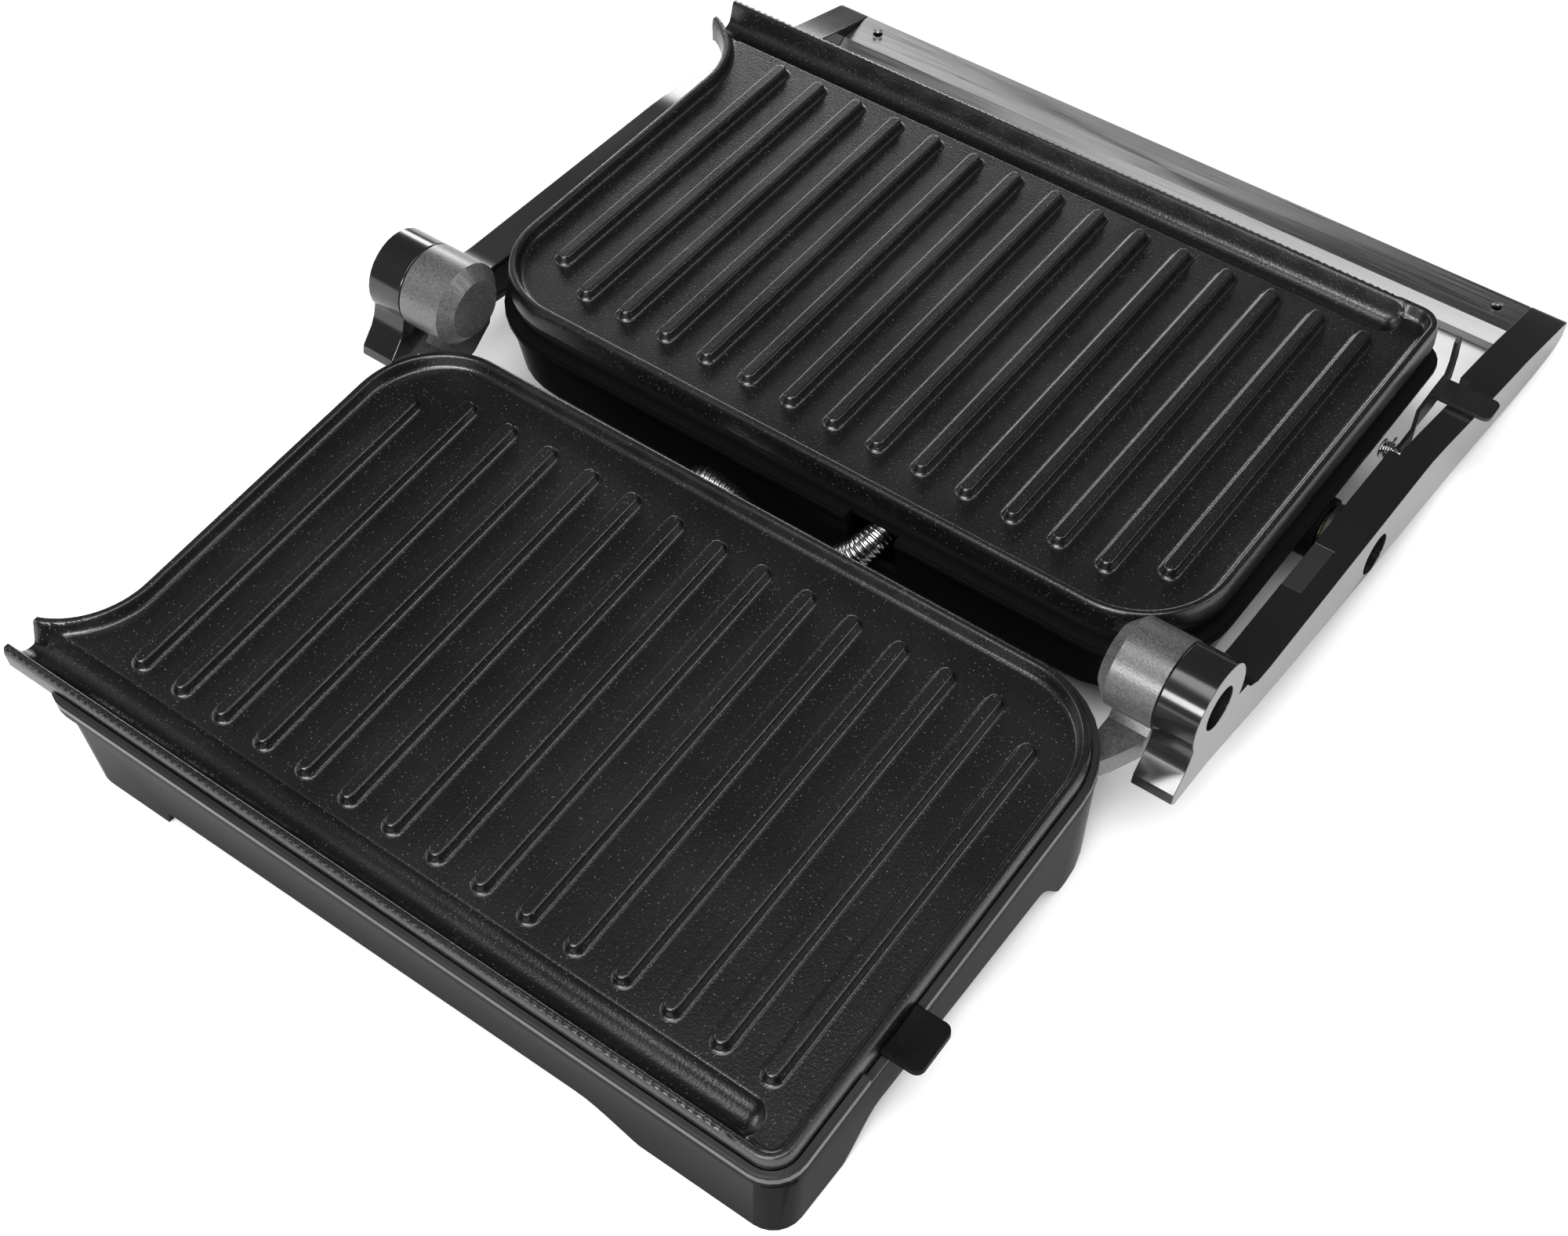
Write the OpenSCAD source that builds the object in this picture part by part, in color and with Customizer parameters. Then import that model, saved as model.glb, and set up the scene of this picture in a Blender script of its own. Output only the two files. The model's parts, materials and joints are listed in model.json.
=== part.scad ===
// Flat-opening panini press: heated base, heated floating lid, two-arm handle yoke.
// Shown opened flat. X runs to the user's right, Y away from the user, Z up, the worktop is Z = 0.

/* [Grill plates] */
// Half of the plate's width, over the rim
plate_hw = 146; // [130:1:150]
// Half of the plate's depth, over the rim
plate_hd = 92; // [86:1:94]
// Number of grill ridges on each plate
ridge_count = 15; // [5:2:15]
// Distance from one ridge to the next
ridge_pitch = 18; // [14:0.5:18]
// Height of a ridge above the plate's floor
ridge_h = 3.6; // [1.5:0.1:4.5]
// Height of the rim above the ridges
rim_h = 1; // [0:0.1:1.2]
// How far the plates slope down to the drip channel
plate_tilt = 4; // [2:0.5:5]

/* [Heights above the worktop] */
// Ridge tops at the middle of the base plate
base_z = 47; // [46:0.5:48]
// Ridge tops of the opened lid plate
lid_z = 57.6; // [57:0.1:58]
// Axis of the main hinge
hinge_z = 59; // [58.8:0.1:60]

/* [Lid and arms] */
// Middle of the opened lid plate, measured from the middle of the base
lid_y = 208.3; // [208:0.1:209]
// Thickness of an arm, across the press
arm_w = 14.5; // [12:0.5:16]
// Diameter of the handle and pivot screws' recesses
recess_d = 15.5; // [11:0.5:16]

/* [Hidden] */
$fn = 48;
eps = 0.01;
// Gap between parts that only lie side by side, and the radial clearance of a turning pin
gap = 0.3;
pin_gap = 0.05;

// Plate: rim and skirt, floor, drip channel, spout
wall = 3;
corner_back = 34;
corner_front = 9;
spout_x = -165;
flare_r = 32;
flare_v = -46;
floor_w = -ridge_h;
floor_t = 4;
skirt_w = -8;
channel_v = -plate_hd + 9.9;
channel_w = -1.2;
channel_r = 7;
channel_end = 126;
ridge_front = -71;
ridge_back = 75;
ridge_short = 9.4;

// Middle of the opened press, from front lip to handle, measured from the middle of the base
press_middle = 141.4;

// Base
lip_out = 2.8;
lip_top = -4.5;
flange_w = -11;
shell = 3;
left_wall = -141;
opening = [-121, 121, -72, 80];
floor_z = 16;
floor_t2 = 2;
foot_z = 0.8;
feet = [[-110, -78], [132, -78], [-106, 64], [126, 64]];
slider_v = -35;
slider_travel = 8;

// Hinge
hinge_y = 104;
knuckle_r = 15.6;
knuckle_cone = 4.5;
knuckle_x0 = 131.5;
knuckle_x1 = 153;
pin_r = 5;
arm_x0 = 153.5;
arm_x1 = arm_x0 + arm_w;

// Lid: w is counted from the ridge tops towards the lid's back
ledge_w = -17;
cover_w = -46;
pivot_y = 216.5;
pivot_z = 25;
pivot_r = 4;
boss_r = 10.5;
notch_x = [21, 41];
notch_z = 24;
ring_t = 1.6;

// Handle and lock lever
handle_y = [351.5, 376];
handle_z = 9.6;
screw_x = 143;
lever_y = 259;
lever_z = 28.5;
lever_x = 155;
lever_t = 1.4;
recess_y = [250, 309];
recess_x = 157.2;

// Conduit: the route's points, from the base's rear wall to the lid's notch
conduit_d = 11;
conduit_route = [
    [-40, 86, 29], [-40, 92, 29], [-40, 98, 29], [-38, 102.5, 30.6], [-32, 105.5, 31.8],
    [-24, 106.5, 29], [-15, 106.8, 23.8], [-5, 106.8, 19], [5.5, 106.8, 17], [14.5, 107.5, 18.6],
    [22, 109.6, 23.2], [27.5, 112.7, 28.4], [30.3, 117, 32], [31, 123, 33], [31, 129, 33], [31, 135, 33]];

// ---------- helpers ----------

function arc(cx, cy, r, a0, a1, n = 9) =
    [for (i = [0:n]) let (a = a0 + (a1 - a0) * i / n) [cx + r * cos(a), cy + r * sin(a)]];

// Rounded rectangle between two corners, with its own radius at the front and at the back
function slab(x0, x1, y0, y1, rf, rb) = concat(
    arc(x1 - rf, y0 + rf, rf, -90, 0, 6), arc(x1 - rb, y1 - rb, rb, 0, 90),
    arc(x0 + rb, y1 - rb, rb, 90, 180), arc(x0 + rf, y0 + rf, rf, 180, 270, 6));

// Lip outline, grown by d
function lip_outline(d) = slab(
    -plate_hw - d, plate_hw + d, -plate_hd - d, plate_hd + d, corner_front + d, corner_back + d);

// Plate outline with its flared spout, drawn in by d
function plate_outline(d) =
    let (r = flare_r + d, cx = -plate_hw - flare_r, a = acos((spout_x - cx) / r), tip = d > 0 ? 2 : 0)
    concat(
        arc(plate_hw - corner_front, -plate_hd + corner_front, corner_front - d, -90, 0, 6),
        arc(plate_hw - corner_back, plate_hd - corner_back, corner_back - d, 0, 90),
        arc(-plate_hw + corner_back, plate_hd - corner_back, corner_back - d, 90, 180),
        arc(cx, flare_v, r, 0, -a),
        [[spout_x - tip, flare_v - r * sin(a)], [spout_x - tip, -plate_hd + d]]);

// S-shaped edge between two points, in n steps
function s_edge(p, q, n = 8) =
    [for (i = [0:n]) [p[0] + (q[0] - p[0]) * i / n, p[1] + (q[1] - p[1]) * (1 - cos(180 * i / n)) / 2]];

// Prism of an outline between two heights
module prism(points, w0, w1) {
    translate([0, 0, w0])
        linear_extrude(w1 - w0)
            polygon(points);
}

// Bar along X with a profile of [y, z] points
module bar_x(points, x0, x1) {
    translate([x0, 0, 0])
        rotate([90, 0, 90])
            linear_extrude(x1 - x0)
                polygon(points);
}

module rod_x(x0, x1, r, y, z) {
    translate([x0, y, z])
        rotate([0, 90, 0])
            cylinder(r = r, h = x1 - x0);
}

module block(x, y, z) {
    translate([x[0], y[0], z[0]])
        cube([x[1] - x[0], y[1] - y[0], z[1] - z[0]]);
}

// Base frame: u, v along the sloping plate, w up from the ridge tops
module on_base() {
    translate([0, 0, base_z])
        rotate([plate_tilt, 0, 0])
            children();
}

// Lid frame: the same, mirrored front to back
module on_lid() {
    translate([0, lid_y, lid_z])
        mirror([0, 1, 0])
            children();
}

module both_sides() {
    children();
    mirror([1, 0, 0])
        children();
}

// Pan-head screw along +Z with a cross recess, its head's underside at 0
module pan_screw(head_r, head_h, r, length) {
    difference() {
        union() {
            cylinder(r = head_r, h = head_h * 0.6);
            translate([0, 0, head_h * 0.6 - eps])
                cylinder(r1 = head_r, r2 = head_r * 0.65, h = head_h * 0.4);
            translate([0, 0, -length])
                cylinder(r = r, h = length + eps);
        }
        for (a = [0, 90])
            rotate([0, 0, a])
                translate([-head_r * 0.55, -head_r * 0.11, head_h * 0.5])
                    cube([head_r * 1.1, head_r * 0.22, head_h]);
    }
}

// ---------- grill plates ----------

module ridge(front, back) {
    top = 2.15;
    foot = 3.4;
    translate([0, back - foot, floor_w - eps])
        rotate([90, 0, 0])
            linear_extrude(back - front - 2 * foot)
                polygon([[-foot, 0], [foot, 0], [top, ridge_h], [-top, ridge_h]]);
    for (v = [front + foot, back - foot])
        translate([0, v, floor_w - eps])
            cylinder(r1 = foot, r2 = top, h = ridge_h, $fn = 24);
}

module grill_plate() {
    half = (ridge_count - 1) / 2;
    difference() {
        union() {
            difference() {
                prism(plate_outline(0), skirt_w, rim_h);
                prism(plate_outline(wall), floor_w, rim_h + 1);
                prism(slab(-plate_hw + wall, plate_hw - wall, channel_v + channel_r + wall,
                           plate_hd - wall, 6, corner_back - wall), skirt_w - 1, floor_w - floor_t);
            }
            intersection() {
                prism(plate_outline(0), skirt_w - 8, channel_w);
                union() {
                    rod_x(spout_x, channel_end, channel_r + wall - 0.4, channel_v, channel_w - 1);
                    translate([channel_end, channel_v, channel_w - 1])
                        sphere(r = channel_r + wall - 0.4);
                }
            }
        }
        rod_x(spout_x - 5, channel_end, channel_r, channel_v, channel_w);
        translate([channel_end, channel_v, channel_w])
            sphere(r = channel_r);
        prism(slab(spout_x - 5, channel_end, channel_v - channel_r, channel_v + channel_r, 0.1, 0.1),
              channel_w, rim_h + 5);
        prism(slab(spout_x - 30, plate_hw + 30, -plate_hd - 30, -plate_hd, 0.1, 0.1), -30, 30);
        prism(slab(-plate_hw + wall, plate_hw - wall, channel_v, plate_hd - wall, 6, corner_back - wall),
              floor_w, rim_h + 12);
    }
    for (i = [-half:half])
        translate([i * ridge_pitch, 0, 0])
            ridge(ridge_front, abs(i) == half ? ridge_back - ridge_short : ridge_back);
}

module base_plate() {
    color([0.16, 0.16, 0.17])
        on_base()
            grill_plate();
}

module lid_plate() {
    color([0.13, 0.13, 0.14])
        on_lid()
            grill_plate();
}

// ---------- heating ----------

// Tubular element: two long legs joined by a bend, with its terminals at the hinge side
module element() {
    r = 3.2;
    w = floor_w - floor_t - r - 0.05;
    half_x = 88;
    half_v = 38;
    bend = 22;
    module leg(a, b) {
        d = b - a;
        translate([a[0], a[1], w])
            rotate([0, 90, atan2(d[1], d[0])])
                cylinder(r = r, h = norm(d), $fn = 20);
    }
    module quarter(c, a) {
        translate([c[0], c[1], w])
            rotate([0, 0, a])
                rotate_extrude(angle = 90, $fn = 32)
                    translate([bend, 0])
                        circle(r = r, $fn = 20);
    }
    leg([-half_x, half_v + bend], [-18, half_v + bend]);
    leg([18, half_v + bend], [half_x, half_v + bend]);
    leg([-half_x, -half_v - bend], [half_x, -half_v - bend]);
    for (s = [-1, 1])
        leg([s * (half_x + bend), -half_v], [s * (half_x + bend), half_v]);
    quarter([half_x, half_v], 0);
    quarter([-half_x, half_v], 90);
    quarter([-half_x, -half_v], 180);
    quarter([half_x, -half_v], 270);
}

module base_heater() {
    color([0.45, 0.43, 0.4])
        on_base()
            element();
}

module lid_heater() {
    color([0.45, 0.43, 0.4])
        on_lid()
            element();
}

// Shallow sheet pan that throws the heat up into the plate
module pan() {
    t = 0.8;
    rim = 7;
    box = pan_box;
    difference() {
        union() {
            prism(slab(box[0] - rim, box[1] + rim, box[2], box[3] + rim, 12, 26),
                  flange_w - t, flange_w);
            prism(slab(box[0], box[1], box[2] + 3, box[3], 10, 24), -pan_depth, flange_w - t + eps);
        }
        prism(slab(box[0] + t, box[1] - t, box[2] + 3 + t, box[3] - t, 9, 23),
              -pan_depth + t, flange_w + 1);
    }
}

pan_box = [-117, 117, -68, 76];
pan_depth = 19;

module base_reflector() {
    color([0.72, 0.72, 0.74])
        on_base()
            pan();
}

module lid_reflector() {
    color([0.72, 0.72, 0.74])
        on_lid()
            pan();
}

// Snap-disc thermostat under a pan: flange, round body and two blade terminals
module disc_thermostat(x, v) {
    translate([x, v, -pan_depth])
        mirror([0, 0, 1]) {
            cylinder(r = 9, h = 2, $fn = 32);
            cylinder(r = 7.5, h = 6);
            for (s = [-1, 1])
                translate([s * 4 - 0.4, -2.5, 6 - eps])
                    cube([0.8, 5, 3.5]);
        }
}

// ---------- base ----------

// Outer form of the housing under its flange, drawn in by d; an inner form runs past both ends
module base_form(d) {
    past = d > 0 ? 1 : 0;
    side = plate_hw + lip_out - 0.3 - d;
    back = plate_hd + lip_out - 0.2 - d;
    front = -plate_hd - lip_out + 0.3 + d;
    hull() {
        on_base()
            prism(slab(left_wall + d, side, front, back, 10 - d, 37 - d),
                  flange_w - 1, flange_w + 1 + past);
        prism(slab(left_wall + 4.5 + d, side - 1.5, front + 1.7, back + 0.3, 10 - d, 37 - d),
              foot_z - past, foot_z - past + 0.1);
    }
}

// Screw bosses for the floor pan and shelves for the hinge brackets, inside the walls
module base_fixings() {
    intersection() {
        base_form(1);
        union() {
            for (p = floor_screw_at) {
                translate([p[0], p[1], floor_z + floor_t2])
                    cylinder(r = 4.5, h = 10.5);
                block([p[0] - 1.5, p[0] + 1.5], p[1] < 0 ? [-100, p[1]] : [p[1], 100],
                      [floor_z + floor_t2, floor_z + floor_t2 + 10.5]);
            }
            both_sides()
                block([tongue_x[0] - 2, 160], [tongue_y - 1, 100], [tongue_z[0] - 3.5, tongue_z[0]]);
        }
    }
}

// Side openings between the feet, as [x, z] and [y, z] profiles
module foot_arches() {
    front = concat([[-100, -1], [-98, 7.5]], s_edge([72, 9], [104, -1]));
    side = concat(s_edge([-67, -1], [-45, floor_z - 0.5]), s_edge([40, floor_z - 0.5], [58, -1]));
    rotate([90, 0, 0])
        translate([0, 0, -200])
            linear_extrude(400)
                polygon(front);
    bar_x(side, -200, 200);
}

module knuckle_clearance() {
    for (x = [knuckle_x0 - gap - 1, -knuckle_x1 - 1])
        rod_x(x, x + knuckle_x1 - knuckle_x0 + 2 + gap, knuckle_r + gap, hinge_y, hinge_z);
}

module spout_clearance() {
    on_base()
        rod_x(spout_x - 10, -plate_hw + 24, channel_r + wall + gap, channel_v, channel_w - 1);
}

module slider_slot(low, high) {
    block([plate_hw - 12, plate_hw + 12],
          [slider_v - 9 - slider_travel - gap, slider_v + 9 + gap], [low, high]);
}

module base_housing() {
    color([0.05, 0.05, 0.055])
        difference() {
            union() {
                difference() {
                    base_form(0);
                    base_form(shell);
                }
                base_fixings();
                on_base()
                    difference() {
                        prism(lip_outline(lip_out), flange_w, skirt_w);
                        opening_cut();
                    }
            }
            foot_arches();
            knuckle_clearance();
            spout_clearance();
            both_sides() {
                block([bracket_x[0] - 0.2, bracket_x[1] + 0.2], [web_y - 0.2, 112],
                      [tongue_z[0], tongue_z[1] + 0.2]);
                block([tongue_x[0] - 0.2, tongue_x[1] + 0.2], [tongue_y - 0.2, web_y + 1.2],
                      [tongue_z[0], tongue_z[1] + 0.2]);
            }
            for (p = floor_screw_at)
                translate([p[0], p[1], 0])
                    cylinder(r = 2.02, h = 27);
            both_sides()
                translate([bracket_screw[0], bracket_screw[1], 0])
                    cylinder(r = 2.02, h = tongue_z[0] + 1);
            translate([conduit_route[0][0], 110, conduit_route[0][2]])
                rotate([90, 0, 0])
                    cylinder(r = 9.05, h = 40);
            translate([gland_x, 110, gland_z])
                rotate([90, 0, 0])
                    cylinder(r = 6.05, h = 40);
        }
}

// Hole in a flange for the reflector pan and, in front of it, for the plate's channel
module opening_cut() {
    prism(slab(opening[0], opening[1], opening[2], opening[3], 8, 26), flange_w - 1, skirt_w + 1);
    prism(slab(-plate_hw + 20, plate_hw - 3, -plate_hd + 1.6, opening[2] + 1, 4, 4),
          flange_w - 1, skirt_w + 1);
}

module base_lip() {
    color([0.09, 0.09, 0.095])
        difference() {
            on_base()
                difference() {
                    union() {
                        prism(lip_outline(lip_out), skirt_w, lip_top - 0.8);
                        prism(lip_outline(lip_out - 0.8), lip_top - 0.8 - eps, lip_top);
                    }
                    prism(plate_outline(-gap), skirt_w - 1, 1);
                    slider_slot(skirt_w + 0.8, 1);
                }
            knuckle_clearance();
            spout_clearance();
        }
}

module base_floor() {
    color([0.2, 0.2, 0.21])
        difference() {
            union() {
                prism(slab(left_wall + 8.5, plate_hw - 3.5, -plate_hd + 4.5, plate_hd - 2.5, 6, 32),
                      floor_z, floor_z + floor_t2);
                for (p = feet)
                    translate([p[0], p[1], 3])
                        cylinder(r = 8.5, h = floor_z - 3 + eps);
            }
            for (p = feet)
                translate([p[0], p[1], 2])
                    cylinder(r = 5, h = 6);
            for (i = [-5:5])
                block([i * 14 - 3, i * 14 + 3], [-30, 10], [floor_z - 1, floor_z + floor_t2 + 1]);
            for (p = floor_screw_at)
                translate([p[0], p[1], floor_z - 1])
                    cylinder(r = 2.02, h = 4);
        }
}

floor_screw_at = [[-62, -83], [62, -83], [-62, 84], [62, 84]];

module floor_screws() {
    color([0.6, 0.6, 0.62])
        for (p = floor_screw_at)
            translate([p[0], p[1], floor_z])
                rotate([180, 0, 0])
                    pan_screw(3.8, 2.4, 2, 10);
}

module rubber_feet() {
    color([0.1, 0.1, 0.1])
        for (p = feet)
            translate([p[0], p[1], 0]) {
                cylinder(r = 8, h = 3);
                translate([0, 0, 3 - eps])
                    cylinder(r = 4.9, h = 5);
            }
}

module base_thermostat() {
    color([0.75, 0.72, 0.65])
        on_base()
            disc_thermostat(0, 30);
}

module lid_thermostat() {
    color([0.75, 0.72, 0.65])
        on_lid()
            disc_thermostat(-40, 20);
}

module thermal_fuse() {
    color([0.8, 0.78, 0.7])
        on_base() {
            rod_x(40, 54, 2, 50, -pan_depth - 2.02);
            rod_x(30, 64, 0.6, 50, -pan_depth - 2.02);
        }
}

module terminal_block() {
    color([0.85, 0.84, 0.78])
        difference() {
            block([56, 98], [62, 74], [floor_z + floor_t2, floor_z + 12]);
            for (i = [0:3])
                translate([61.5 + i * 10.3, 68, floor_z + 8])
                    cylinder(r = 2.5, h = 10, $fn = 24);
            block([50, 104], [60, 63.5], [floor_z + 8, floor_z + 14]);
        }
}

gland_x = 84;
gland_z = 25;

// Bushing pushed through the rear wall from outside, with a flange
module wall_gland(r, bore) {
    face = plate_hd + lip_out + 0.8;
    rotate([90, 0, 0])
        difference() {
            union() {
                translate([0, 0, -face])
                    cylinder(r = r, h = 9);
                translate([0, 0, -face - 2])
                    cylinder(r = r + 2, h = 2 + eps);
            }
            translate([0, 0, -face - 3])
                cylinder(r = bore, h = 20);
        }
}

module cord_gland() {
    color([0.06, 0.06, 0.06])
        translate([gland_x, 0, gland_z])
            wall_gland(6, 3.8);
}

module base_conduit_gland() {
    color([0.06, 0.06, 0.06])
        translate([conduit_route[0][0], 0, conduit_route[0][2]])
            wall_gland(9, conduit_d / 2 + 0.1);
}

// ---------- release slider ----------

module release_slider() {
    w0 = skirt_w + 1.1;
    w1 = -4.1;
    inner = plate_hw + 0.15;
    dip_r = 26;
    r = 3;
    reach = 159.5;
    y0 = slider_v - 9;
    y1 = slider_v + 9;
    color([0.05, 0.05, 0.055])
        on_base() {
            difference() {
                prism(concat([[inner, y0]], arc(reach - r, y0 + r, r, -90, 0, 6),
                             arc(reach - r, y1 - r, r, 0, 90, 6), [[inner, y1]]), w0, w1);
                // Scoop for the thumb
                translate([inner + 2, slider_v, w1 + dip_r - 1.3])
                    sphere(r = dip_r, $fn = 64);
            }
            prism(concat(arc(reach - 0.8 - r, y0 + 0.8 + r, r, -90, 0, 6),
                         arc(reach - 0.8 - r, y1 - 0.8 - r, r, 0, 90, 6),
                         [[plate_hw + lip_out + 1, y1 - 0.8], [plate_hw + lip_out + 1, y0 + 0.8]]),
                  w0 - 2.2, w0 + eps);
        }
}

// ---------- main hinge ----------

bracket_x = [136, 150];
tongue_x = [125, 140];
tongue_y = 60;
tongue_z = [31.5, 39.6];
web_y = 74;
web_plan = [[136, web_y - 1], [141, 76], [145, 82], [150, 93], [150, 125], [136, 125]];
bracket_screw = [131, 65];

module hinge_bracket() {
    web = [[web_y - 1, tongue_z[0]], [92, tongue_z[0]], [105, 35.5], [114, 42], [118, 54], [112, hinge_z],
           [96, hinge_z], [95, 46], [97, 42], [95, tongue_z[1]], [web_y - 1, tongue_z[1]]];
    difference() {
        union() {
            rod_x(knuckle_x0 + knuckle_cone, knuckle_x1, knuckle_r, hinge_y, hinge_z);
            translate([knuckle_x0, hinge_y, hinge_z])
                rotate([0, 90, 0])
                    cylinder(r1 = knuckle_r - knuckle_cone, r2 = knuckle_r, h = knuckle_cone + eps);
            intersection() {
                bar_x(web, bracket_x[0], bracket_x[1]);
                prism(web_plan, 0, 100);
            }
            block(tongue_x, [tongue_y, web_y + 1], tongue_z);
        }
        rod_x(knuckle_x0 + 6, knuckle_x1 + 1, pin_r + 0.02, hinge_y, hinge_z);
        translate([bracket_screw[0], bracket_screw[1], tongue_z[0] - 1])
            cylinder(r = 2.02, h = 9);
    }
}

module hinge_bracket_right() {
    color([0.3, 0.3, 0.31])
        hinge_bracket();
}

module hinge_bracket_left() {
    color([0.3, 0.3, 0.31])
        mirror([1, 0, 0])
            hinge_bracket();
}

module bracket_screws() {
    color([0.6, 0.6, 0.62])
        both_sides()
            translate([bracket_screw[0], bracket_screw[1], tongue_z[0] - 3.5])
                rotate([180, 0, 0])
                    pan_screw(3, 2, 2, 10);
}

// Steel pin, fast in the knuckle; the arm turns on its outer end
module hinge_pin() {
    difference() {
        rod_x(knuckle_x0 + 6, arm_x1 - 8.3, pin_r, hinge_y, hinge_z);
        rod_x(arm_x1 - 16, arm_x1, 2, hinge_y, hinge_z);
    }
}

module hinge_pin_right() {
    color([0.7, 0.7, 0.72])
        hinge_pin();
}

module hinge_pin_left() {
    color([0.7, 0.7, 0.72])
        mirror([1, 0, 0])
            hinge_pin();
}

// ---------- arms ----------

// Side profile of an arm as [y, z]: tail, underside, toe, top, hinge end
label_line = [[156, 42], [205, 40.4]];
arm_profile = concat(
    [[81, 39], [80.2, 35.5], [82.5, 33], [103, 32.2], [135, 26.3], [161, 22.6], [189, 19.2],
     [217, 16.6], [247, 13.6], [279, 10.4], [312, 6], [336, 2.6], [354, 0.5], [362, 0], [370, 0.6],
     [375, 3.2], [377, 7], [376.4, 8.6], [374.5, 9.4], [360, 13.4], [336, 20], [309, 25.8],
     [288, 30.8], [266, 36.2], [254, 38.5], [247, 39], [226, 39.8], label_line[1], label_line[0],
     [140, 42.6], [132, 43.6], [126.5, 46.5],
     [123.5, 50.5]],
    arc(hinge_y, hinge_z, knuckle_r, -28, 205, 20),
    [[88.6, 48.4], [86.5, 44.8]]);

module arm() {
    difference() {
        bar_x(arm_profile, arm_x0, arm_x1);
        rod_x(arm_x0 - 1, arm_x1 - 8, pin_r + pin_gap, hinge_y, hinge_z);
        rod_x(arm_x1 - 9, arm_x1 + 1, 2.6, hinge_y, hinge_z);
        rod_x(arm_x1 - 5, arm_x1 + 1, recess_d / 2, hinge_y, hinge_z);
        rod_x(arm_x1 - 5, arm_x1 + 1, recess_d / 2, pivot_y, pivot_z);
        rod_x(arm_x0 - 1, arm_x1 - 4, 2.02, pivot_y, pivot_z);
        rod_x(arm_x0 - 1, arm_x0 + 4, pivot_r + 0.02, pivot_y, pivot_z);
        // Cavity closed by the inner cover, and the lowered inner face beside the lever
        bar_x(cavity, arm_x0 + 2, arm_x0 + 9);
        bar_x(cover_outline, arm_x0 - 1, arm_x0 + 2);
        block([arm_x0 - 1, recess_x], recess_y, [-1, 60]);
        block([arm_x0 - 1, arm_x0 + 8], [354.8, 373.2], [2.8, 7]);
    }
}

cavity = [[136, 32], [158, 28], [196, 25], [196, 34], [158, 37], [136, 38]];
cover_outline = [[128, 34], [134, 30], [158, 26], [199, 23], [199, 36], [158, 39], [134, 40]];

module arm_right() {
    color([0.05, 0.05, 0.055])
        difference() {
            arm();
            translate([lever_x, 0, 0])
                rod_x(-2, 8, 2, lever_y, lever_z);
            bar_x(label_profile(-label_t, 30), arm_x0 - 1, label_x1);
        }
}

// Label's side profile between two heights over the arm's straight top line
label_y = [173.2, 195.8];
label_x1 = 160.9;
label_t = 1.2;
function arm_top(y) = label_line[0][1]
    + (y - label_line[0][0]) * (label_line[1][1] - label_line[0][1]) / (label_line[1][0] - label_line[0][0]);
function label_profile(low, high) = [
    [label_y[0], arm_top(label_y[0]) + low], [label_y[1], arm_top(label_y[1]) + low],
    [label_y[1], arm_top(label_y[1]) + high], [label_y[0], arm_top(label_y[0]) + high]];

module arm_left() {
    color([0.05, 0.05, 0.055])
        mirror([1, 0, 0])
            arm();
}

module arm_cover() {
    bar_x(cover_outline, arm_x0, arm_x0 + 2);
}

module arm_cover_right() {
    color([0.07, 0.07, 0.075])
        arm_cover();
}

module arm_cover_left() {
    color([0.07, 0.07, 0.075])
        mirror([1, 0, 0])
            arm_cover();
}

// Small blank plate let into the top of the right arm
module blank_label() {
    color([0.12, 0.12, 0.125])
        bar_x(label_profile(-label_t, -0.15), arm_x0, label_x1);
}

// Recessed screws that hold each arm on its hinge pin and its lid pivot
module arm_screws() {
    color([0.72, 0.72, 0.74])
        both_sides()
            for (p = [[hinge_y, hinge_z, 1.95, 9], [pivot_y, pivot_z, 2, 8.5]])
                translate([arm_x1 - 5, p[0], p[1]])
                    rotate([0, 90, 0])
                        pan_screw(4.2, 2.6, p[2], p[3]);
}

// Pivot of the floating lid: flange against the arm, journal in the lid's bush
module pivot_pin() {
    difference() {
        union() {
            rod_x(arm_x0 - 3.4, arm_x0, boss_r, pivot_y, pivot_z);
            rod_x(132, arm_x0 + 4, pivot_r, pivot_y, pivot_z);
        }
        rod_x(arm_x0, arm_x0 + 5, 2.02, pivot_y, pivot_z);
    }
}

module pivot_pin_right() {
    color([0.08, 0.08, 0.085])
        pivot_pin();
}

module pivot_pin_left() {
    color([0.08, 0.08, 0.085])
        mirror([1, 0, 0])
            pivot_pin();
}

// ---------- handle ----------

bar_profile = [[handle_y[0], 3.2], [handle_y[0] + 0.6, 6.2], [handle_y[0] + 6.2, handle_z],
               [handle_y[1] - 1, handle_z], [handle_y[1], handle_z - 1], [handle_y[1], 2.2],
               [handle_y[1] - 1.4, 2.2], [handle_y[1] - 1.4, handle_z - 1.4],
               [handle_y[0] + 6.8, handle_z - 1.4], [handle_y[0] + 1.9, 5.5], [handle_y[0] + 1.4, 3.2]];

grip_profile = [[handle_y[0] + 1.7, 3], [handle_y[0] + 2.2, 5.3], [handle_y[0] + 7, handle_z - 1.7],
                [handle_y[1] - 1.7, handle_z - 1.7], [handle_y[1] - 1.7, 2.4], [handle_y[1] - 5, 1],
                [handle_y[1] - 11, 0.5], [handle_y[0] + 6, 1.2]];

module handle_bar() {
    color([0.66, 0.66, 0.67])
        difference() {
            bar_x(bar_profile, -arm_x0 + 0.2, arm_x0 - 0.2);
            for (s = [-1, 1])
                translate([s * screw_x, 367.5, handle_z - 4])
                    cylinder(r = 2.05, h = 8);
        }
}

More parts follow.
